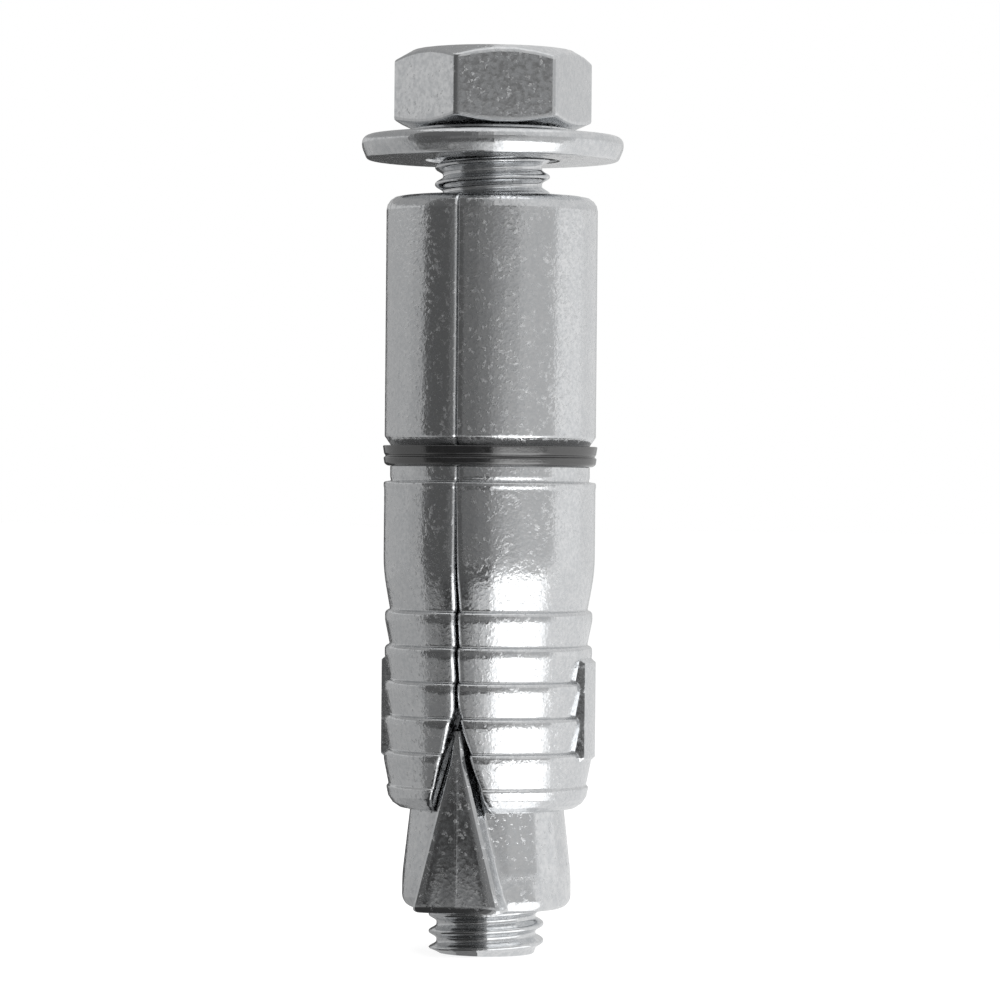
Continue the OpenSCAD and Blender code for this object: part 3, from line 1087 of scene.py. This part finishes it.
# The cards give the metal its bands: dark left of the middle, grey on the left and bright on the right.
CARDS = (
    Card("panel_back_left", -180, -158, 0.08, Band.LOWER),
    Card("panel_left", -158, -96, 0.46, Band.LOWER),
    Card("panel_shade", -96, -77, 0.41, Band.LOWER),
    Card("panel_dark", -77, -40, 0.1, Band.LOWER),
    Card("panel_dusk", -40, -14, 0.17, Band.LOWER),
    Card("panel_edge", -14, 1, 0.22, Band.LOWER),
    Card("panel_step", 1, 14, 0.33, Band.LOWER),
    Card("panel_rise", 14, 30, 0.45, Band.LOWER),
    Card("panel_middle", 30, 74, 0.54, Band.LOWER),
    Card("panel_right", 74, 115, 0.9, Band.LOWER),
    Card("panel_far_right", 115, 158, 0.8, Band.LOWER),
    Card("panel_back_right", 158, 180, 0.62, Band.LOWER),
    Card("panel_key", -54, -20, 0.05, Band.KEY),
    Card("panel_low", 8, 74, 0.74, Band.FOOT),
    Card("upper_back_left", -180, -158, 0.5, Band.UPPER),
    Card("upper_left", -158, -77, 0.62, Band.UPPER),
    Card("upper_dark", -77, -14, 0.12, Band.UPPER),
    Card("upper_edge", -14, 1, 0.2, Band.UPPER_SHORT),
    Card("upper_step", 1, 30, 0.17, Band.UPPER_SHORT),
    Card("upper_middle", 30, 74, 0.54, Band.UPPER_SHORT),
    Card("upper_right", 74, 180, 0.7, Band.UPPER),
    Card("top_left", -180, -77, 0.36, Band.TOP),
    Card("top_dark", -77, -14, 0.13, Band.TOP),
    Card("top_edge", -14, 1, 0.32, Band.TOP_LONG),
    Card("top_step", 1, 30, 0.62, Band.TOP_LONG),
    Card("top_middle", 30, 74, 0.75, Band.TOP_LONG),
    Card("top_right", 74, 180, 0.74, Band.TOP),
    Card("card_back_left", -180, -150, 0.08, Band.FLOOR),
    Card("card_end_left", -180, -38, 0.38, Band.END),
    Card("card_end_dark", -38, -10, 0.2, Band.END),
    Card("card_end_right", -10, 180, 0.85, Band.END),
    Card("card_tip_left", -150, -74, 0.36, Band.TIP),
    Card("card_left", -150, -74, 0.43, Band.PAST_TIP),
    Card("card_tip_dark", -74, -16, 0.04, Band.TIP),
    Card("card_tip_dusk", -16, -3, 0.12, Band.TIP),
    Card("card_tip_dawn", -3, 3, 0.4, Band.TIP),
    Card("card_dark_near", -74, -40, 0.2, Band.NEAR),
    Card("card_dusk_near", -40, -14, 0.34, Band.NEAR),
    Card("card_edge_near", -14, -6, 0.5, Band.NEAR),
    Card("card_dawn_near", -6, 3, 0.75, Band.NEAR),
    Card("card_dark_mid", -74, -40, 0.28, Band.MID),
    Card("card_dusk_mid", -40, -14, 0.42, Band.MID),
    Card("card_edge_mid", -14, 3, 0.7, Band.MID),
    Card("card_dark_far", -74, 3, 0.1, Band.FAR),
    Card("card_tip", 3, 64, 1.5, Band.TIP_LIGHT),
    Card("card_middle", 3, 64, 0.55, Band.PAST_LIGHT),
    Card("card_light", 3, 11, 1.4, Band.LEDGE),
    Card("card_bright", 11, 58, 2.1, Band.LEDGE),
    Card("card_fade", 58, 66, 1.3, Band.LEDGE),
    Card("card_under", 3, 66, 0.5, Band.LEDGE_BACK),
    Card("card_right", 64, 180, 0.85, Band.FLOOR),
    Card("card_ceiling_left", -180, -20, 0.85, Band.CEILING),
    Card("card_ceiling", -20, 180, 0.95, Band.CEILING),
)


@dataclass
class Studio:
    """Pale floor, cards, lamps and camera at the photograph's angle."""

    azimuth_deg: float = 18.3
    distance: float = 0.495
    eye_z: float = 0.0488
    aim_z: float = 0.0467
    side_step: float = 0.00106
    roll_deg: float = 0.5
    view_width: float = 0.1032
    sensor: float = 36.0
    near_clip: float = 0.01
    lamp_aim_z: float = 0.045
    floor_half_mm: float = 4000.0
    floor_grey: str = "#8a8a8a"
    floor_glow: float = 0.87
    sky_dim: float = 0.55
    white: str = "#ffffff"

    def glow(self, name: str, strength: float) -> Material:
        """A plain card that gives even light."""
        material, tree = new_material(name)
        light = add_node(tree, "ShaderNodeEmission", Color=linear(self.white), Strength=strength)
        add_node(tree, "ShaderNodeOutputMaterial", Surface=light.outputs[0])
        return material

    @staticmethod
    def seen(tree: NodeTree) -> NodeSocket:
        """One for what the camera sees, straight, in reflections or through a clear material, and zero for the rest."""
        path = add_node(tree, "ShaderNodeLightPath").outputs
        straight = add_sum(tree, "MAXIMUM", path["Is Camera Ray"], path["Is Glossy Ray"])
        return add_sum(tree, "MAXIMUM", straight, path["Is Transmission Ray"])

    def arc(self, radius: float, z: float, start_deg: float, end_deg: float, steps: int = 16) -> list[Point]:
        """Points of an arc round the object.

        Args:
            radius: Radius in metres.
            z: Height in metres.
            start_deg: First angle from the camera, rising to the right.
            end_deg: Last angle.
            steps: Number of segments.

        Returns:
            The points in millimetres.
        """
        angles = [start_deg + (end_deg - start_deg) * k / steps for k in range(steps + 1)]
        turns = [math.radians(self.azimuth_deg + angle) for angle in angles]
        return [(radius / MM * math.sin(t), -radius / MM * math.cos(t), z / MM) for t in turns]

    def hang(self, card: Card) -> Object:
        """Makes one card that only reflections see.

        Args:
            card: Its place and light.

        Returns:
            The card.
        """
        skin = Skin()
        edges = [self.arc(radius, z, card.start_deg, card.end_deg) for radius, z in card.band.value]
        skin.stack(edges, closed=False)
        piece = skin.finish(card.name, self.glow(card.name, card.strength))
        piece.visible_camera = False
        piece.visible_shadow = False
        piece.visible_diffuse = False
        return piece

    def floor(self) -> Object:
        """Lays the pale floor, white to the camera and in reflections, with the object's soft shadow."""
        material, tree = new_material("floor_white")
        matt = add_node(tree, "ShaderNodeBsdfDiffuse", Color=linear(self.floor_grey)).outputs[0]
        white = add_node(tree, "ShaderNodeEmission", Color=linear(self.white), Strength=self.floor_glow).outputs[0]
        both = add_node(tree, "ShaderNodeAddShader", i0=matt, i1=white).outputs[0]
        mixed = add_node(tree, "ShaderNodeMixShader", i0=self.seen(tree), i1=matt, i2=both)
        add_node(tree, "ShaderNodeOutputMaterial", Surface=mixed.outputs[0])
        skin = Skin()
        half = self.floor_half_mm
        skin.cap(skin.loop([(-half, -half, 0.0), (half, -half, 0.0), (half, half, 0.0), (-half, half, 0.0)]))
        floor = skin.finish("floor", material)
        return floor

    def sky(self) -> None:
        """White surroundings for the camera and for reflections, with plain grey light on the object."""
        world = bpy.data.worlds.new("studio")
        bpy.context.scene.world = world
        world.use_nodes = True
        tree = world.node_tree
        tree.nodes.clear()
        dim, white = (add_node(tree, "ShaderNodeBackground", Color=linear(self.white), Strength=strength).outputs[0]
                      for strength in (self.sky_dim, 1.0))
        mixed = add_node(tree, "ShaderNodeMixShader", i0=self.seen(tree), i1=dim, i2=white)
        add_node(tree, "ShaderNodeOutputWorld", Surface=mixed.outputs[0])

    def lamp(self, name: str, turn_deg: float, rise_deg: float, reach: float, size: float, watts: float) -> Object:
        """Hangs a soft square lamp that faces the object.

        Args:
            name: Name of the lamp.
            turn_deg: Angle from the camera.
            rise_deg: Height angle.
            reach: Distance in metres.
            size: Side of the lamp in metres.
            watts: Power.

        Returns:
            The lamp.
        """
        data = bpy.data.lights.new(name, "AREA")
        data.shape = "SQUARE"
        data.size = size
        data.energy = watts
        lamp = bpy.data.objects.new(name, data)
        turn, rise = math.radians(self.azimuth_deg + turn_deg), math.radians(rise_deg)
        away = Vector((math.sin(turn) * math.cos(rise), -math.cos(turn) * math.cos(rise), math.sin(rise)))
        lamp.location = Vector((0.0, 0.0, self.lamp_aim_z)) + away * reach
        lamp.rotation_euler = away.to_track_quat("Z", "Y").to_euler()
        lamp.visible_glossy = False
        bpy.context.scene.collection.objects.link(lamp)
        return lamp

    def camera(self) -> Object:
        """Sets the camera as the photograph was taken.

        Returns:
            The camera.
        """
        turn = math.radians(self.azimuth_deg)
        right = Vector((math.cos(turn), math.sin(turn), 0.0))
        eye = Vector((math.sin(turn), -math.cos(turn), 0.0)) * self.distance + right * self.side_step
        eye.z = self.eye_z
        aim = right * self.side_step
        aim.z = self.aim_z
        data = bpy.data.cameras.new("camera")
        data.sensor_width = self.sensor
        data.lens = self.sensor * self.distance / self.view_width
        data.clip_start = self.near_clip
        camera = bpy.data.objects.new("camera", data)
        camera.location = eye
        look = (eye - aim).to_track_quat("Z", "Y").to_matrix()
        camera.rotation_euler = (look @ Matrix.Rotation(math.radians(self.roll_deg), 3, "Z")).to_euler()
        bpy.context.scene.collection.objects.link(camera)
        bpy.context.scene.camera = camera
        return camera

    def build(self) -> None:
        """Sets up the whole studio."""
        self.floor()
        self.sky()
        for card in CARDS:
            self.hang(card)
        self.lamp("lamp_top", turn_deg=10.0, rise_deg=72.0, reach=0.6, size=0.45, watts=3.0)
        self.lamp("lamp_right", turn_deg=75.0, rise_deg=30.0, reach=0.5, size=0.3, watts=1.2)
        self.camera()
        bpy.context.scene.view_settings.view_transform = "Standard"


def main() -> None:
    """Builds each piece in order and reports it."""
    logging.basicConfig(level=logging.INFO, format="%(message)s")
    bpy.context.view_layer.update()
    # Rolled bolt: even and bright, with few flecks.
    bolt_zinc = ZincPlate("zinc_plate_rolled_thread", cloud=0.08, grain_depth_mm=0.009, fleck_share=0.46).build()
    # Stamped washer: softly clouded.
    washer_zinc = ZincPlate("zinc_plate_stamped").build()
    # Pressed shield: fine grain and many small flecks.
    shell_zinc = ZincPlate("zinc_plate_pressed", cloud=0.08, grain_mm=0.35, grain_depth_mm=0.018, fleck_mm=0.5,
                           fleck_depth_mm=0.014, fleck_share=0.4, fleck_from=0.52).build()
    # Forged nut: larger, deeper flecks.
    nut_zinc = ZincPlate("zinc_plate_forged", cloud=0.08, grain_depth_mm=0.01, fleck_mm=0.6, fleck_share=0.38,
                         fleck_depth_mm=0.016).build()
    # Rubber ring: black, with a soft sheen.
    rubber = BlackRubber().build()
    threads = ThreadTree()
    makers = [Bolt(bolt_zinc, threads), FlatWasher(washer_zinc), ConeNut(nut_zinc, threads)]
    makers += [HalfShell(side, shell_zinc) for side in Side]
    makers += [RubberRing(side, rubber) for side in Side]
    for maker in makers:
        piece = maker.build()
        LOG.info("%s: %d faces", piece.name, len(piece.data.polygons))
    Studio().build()


if __name__ == "__main__":
    main()
